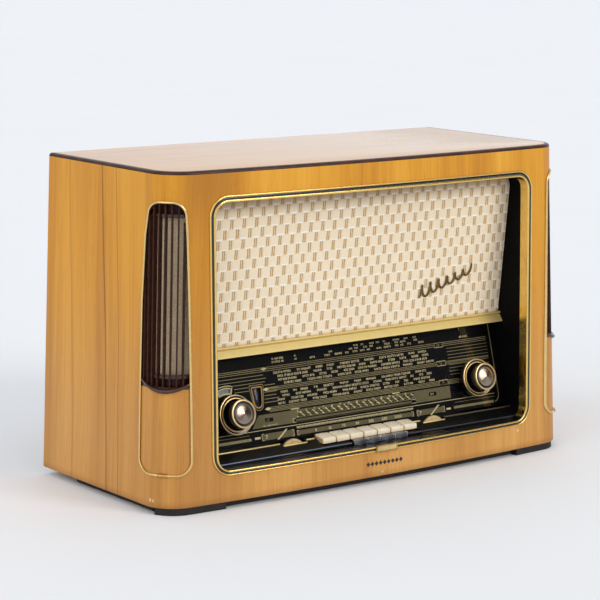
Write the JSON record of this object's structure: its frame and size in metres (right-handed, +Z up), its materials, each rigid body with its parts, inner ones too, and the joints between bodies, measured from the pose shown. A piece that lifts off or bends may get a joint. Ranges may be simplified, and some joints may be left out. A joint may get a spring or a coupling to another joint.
{
  "type": "table-top valve radio",
  "caption": "Table-top valve radio in a bowed veneered wooden case with corner sound grilles, cloth front, printed glass dial, piano keys, tone wheels and concentric knobs.",
  "frame": {"origin": "centre of the footprint box on the surface the feet stand on", "axes": "+X to the right seen from the front, +Y towards the back, +Z up"},
  "size_m": [0.6418, 0.2861, 0.4043],
  "materials": {
    "veneer": "clear-lacquered honey veneer",
    "veneer_top": "clear-lacquered veneer, high gloss",
    "edge_dark": "dark lacquer",
    "board_raw": "raw board",
    "foot_black": "matt black",
    "trim_gold": "polished gilt",
    "trim_black": "gloss black",
    "grille_brown": "satin brown moulding",
    "cloth_side": "fine woven cloth",
    "cloth_front": "woven speaker cloth",
    "mask_black": "gloss black",
    "glass_dial": "dark printed glass",
    "glass_clear": "clear glass",
    "steel": "zinc plated",
    "steel_painted": "grey paint",
    "aluminium": "satin",
    "ivory": "ivory",
    "ivory_wheel": "ivory, worn",
    "knob": "gloss black with gilt rims",
    "chrome_key": "black with bright edges",
    "paper_cone": "paper cone",
    "bakelite": "brown phenolic",
    "hardboard": "brown hardboard",
    "ferrite": "ferrite",
    "pointer": "gilt",
    "rubber": "black rubber",
    "iron": "laminated core"
  },
  "bodies": {
    "cabinet": {"cabinet_shell": "veneer", "top_panel": "veneer_top", "top_edge_band": "edge_dark", "bottom_board": "board_raw", "feet": "foot_black", "opening_trim": "trim_gold", "trim_inlay": "trim_black", "trim_joiners": "trim_gold", "corner_loops": "trim_gold", "side_grille_left": "grille_brown", "side_grille_right": "grille_brown", "side_cloths": "cloth_side", "side_tweeters": "aluminium", "recess_mask": "mask_black", "key_bezel": "mask_black", "baffle_board": "board_raw", "speaker_cloth": "cloth_front", "cloth_ornament": "trim_gold", "dial_rail": "trim_gold", "dial_glass": "glass_dial", "dial_backplate": "steel_painted", "dial_lamps": "glass_clear", "magic_eye": "glass_clear", "speaker_frames": "steel_painted", "speaker_cones": "paper_cone", "chassis": "steel", "transformers": "iron", "valves": "glass_clear", "shield_cans": "aluminium", "tuning_capacitor": "aluminium", "ferrite_post": "bakelite", "key_housing": "steel", "control_pots": "steel", "socket_panel": "bakelite", "voltage_selector": "bakelite", "back_cover": "hardboard", "back_battens": "board_raw", "back_screws": "steel", "cord_grommet": "rubber"},
    "volume_knob": {"volume_knob": "knob"},
    "antenna_knob": {"antenna_knob": "knob"},
    "am_tuning_knob": {"am_tuning_knob": "knob"},
    "fm_tuning_knob": {"fm_tuning_knob": "knob"},
    "am_pointer": {"am_pointer": "pointer"},
    "fm_pointer": {"fm_pointer": "pointer"},
    "capacitor_rotor": {"capacitor_rotor": "aluminium"},
    "ferrite_rod": {"ferrite_rod": "ferrite"},
    "bass_wheel": {"bass_wheel": "ivory_wheel"},
    "treble_wheel": {"treble_wheel": "ivory_wheel"},
    "piano_key_1": {"piano_key_1": "ivory"},
    "piano_key_2": {"piano_key_2": "ivory"},
    "piano_key_3": {"piano_key_3": "ivory"},
    "piano_key_4": {"piano_key_4": "ivory"},
    "piano_key_5": {"piano_key_5": "ivory"},
    "piano_key_6": {"piano_key_6": "ivory"},
    "piano_key_7": {"piano_key_7": "ivory"},
    "register_key_1": {"register_key_1": "chrome_key"},
    "register_key_2": {"register_key_2": "chrome_key"},
    "register_key_3": {"register_key_3": "chrome_key"},
    "register_key_4": {"register_key_4": "chrome_key"}
  },
  "joints": [
    {"name": "volume_turn", "type": "hinge", "parent": "cabinet", "child": "volume_knob", "pos_m": [-0.1925, -0.10398, 0.10496], "axis": [0, -0.964, 0.2661], "range_deg": [-140, 140]},
    {"name": "antenna_turn", "type": "hinge", "parent": "cabinet", "child": "antenna_knob", "pos_m": [-0.1925, -0.09241, 0.10176], "axis": [0, -0.964, 0.2661], "range_deg": [-90, 90]},
    {"name": "am_tuning_turn", "type": "hinge", "parent": "cabinet", "child": "am_tuning_knob", "pos_m": [0.1925, -0.10398, 0.10496], "axis": [0, -0.964, 0.2661], "range_deg": [-30, 1770]},
    {"name": "am_pointer_slide", "type": "slide", "parent": "cabinet", "child": "am_pointer", "axis": [1, 0, 0], "range_m": [-0.2362, 0.0042]},
    {"name": "capacitor_turn", "type": "hinge", "parent": "cabinet", "child": "capacitor_rotor", "pos_m": [-0.03, -0.007, 0.101], "axis": [0, 1, 0], "range_deg": [-3.3, 177.3]},
    {"name": "fm_tuning_turn", "type": "hinge", "parent": "cabinet", "child": "fm_tuning_knob", "pos_m": [0.1925, -0.09241, 0.10176], "axis": [0, -0.964, 0.2661], "range_deg": [-34.62, 1765.38]},
    {"name": "fm_pointer_slide", "type": "slide", "parent": "cabinet", "child": "fm_pointer", "axis": [1, 0, 0], "range_m": [-0.2042, 0.0042]},
    {"name": "ferrite_turn", "type": "hinge", "parent": "cabinet", "child": "ferrite_rod", "pos_m": [0, 0.059, 0.174], "axis": [0, 0, 1], "range_deg": [-90.5, 90.5]},
    {"name": "bass_turn", "type": "hinge", "parent": "cabinet", "child": "bass_wheel", "pos_m": [-0.112, -0.101, 0.0454], "axis": [0, 1, 0], "range_deg": [-135, 135]},
    {"name": "treble_turn", "type": "hinge", "parent": "cabinet", "child": "treble_wheel", "pos_m": [0.112, -0.101, 0.0454], "axis": [0, 1, 0], "range_deg": [-135, 135]},
    {"name": "piano_key_1_press", "type": "hinge", "parent": "cabinet", "child": "piano_key_1", "pos_m": [-0.0648, -0.055, 0.056], "axis": [1, 0, 0], "range_deg": [0, 4.5], "stiffness_Nm_per_rad": 3, "springref_deg": -2.86},
    {"name": "piano_key_2_press", "type": "hinge", "parent": "cabinet", "child": "piano_key_2", "pos_m": [-0.0432, -0.055, 0.056], "axis": [1, 0, 0], "range_deg": [0, 4.5], "stiffness_Nm_per_rad": 3, "springref_deg": -2.86},
    {"name": "piano_key_3_press", "type": "hinge", "parent": "cabinet", "child": "piano_key_3", "pos_m": [-0.0216, -0.055, 0.056], "axis": [1, 0, 0], "range_deg": [0, 4.5], "stiffness_Nm_per_rad": 3, "springref_deg": -2.86},
    {"name": "piano_key_4_press", "type": "hinge", "parent": "cabinet", "child": "piano_key_4", "pos_m": [0, -0.055, 0.056], "axis": [1, 0, 0], "range_deg": [0, 4.5], "stiffness_Nm_per_rad": 3, "springref_deg": -2.86},
    {"name": "piano_key_5_press", "type": "hinge", "parent": "cabinet", "child": "piano_key_5", "pos_m": [0.0216, -0.055, 0.056], "axis": [1, 0, 0], "range_deg": [0, 4.5], "stiffness_Nm_per_rad": 3, "springref_deg": -2.86},
    {"name": "piano_key_6_press", "type": "hinge", "parent": "cabinet", "child": "piano_key_6", "pos_m": [0.0432, -0.055, 0.056], "axis": [1, 0, 0], "range_deg": [0, 4.5], "stiffness_Nm_per_rad": 3, "springref_deg": -2.86},
    {"name": "piano_key_7_press", "type": "hinge", "parent": "cabinet", "child": "piano_key_7", "pos_m": [0.0648, -0.055, 0.056], "axis": [1, 0, 0], "range_deg": [0, 4.5], "stiffness_Nm_per_rad": 3, "springref_deg": -2.86},
    {"name": "register_key_1_press", "type": "slide", "parent": "cabinet", "child": "register_key_1", "axis": [0, 0, -1], "range_m": [0, 0.0025], "stiffness_N_per_m": 300, "springref_m": -0.001},
    {"name": "register_key_2_press", "type": "slide", "parent": "cabinet", "child": "register_key_2", "axis": [0, 0, -1], "range_m": [0, 0.0025], "stiffness_N_per_m": 300, "springref_m": -0.001},
    {"name": "register_key_3_press", "type": "slide", "parent": "cabinet", "child": "register_key_3", "axis": [0, 0, -1], "range_m": [0, 0.0025], "stiffness_N_per_m": 300, "springref_m": -0.001},
    {"name": "register_key_4_press", "type": "slide", "parent": "cabinet", "child": "register_key_4", "axis": [0, 0, -1], "range_m": [0, 0.0025], "stiffness_N_per_m": 300, "springref_m": -0.001}
  ],
  "couplings": [
    {"joint": "am_pointer_slide", "follows": "am_tuning_turn", "m_per_rad": -0.0076394},
    {"joint": "capacitor_turn", "follows": "am_tuning_turn", "ratio": 0.1},
    {"joint": "fm_pointer_slide", "follows": "fm_tuning_turn", "m_per_rad": -0.0066208},
    {"joint": "ferrite_turn", "follows": "antenna_turn", "ratio": 1}
  ]
}
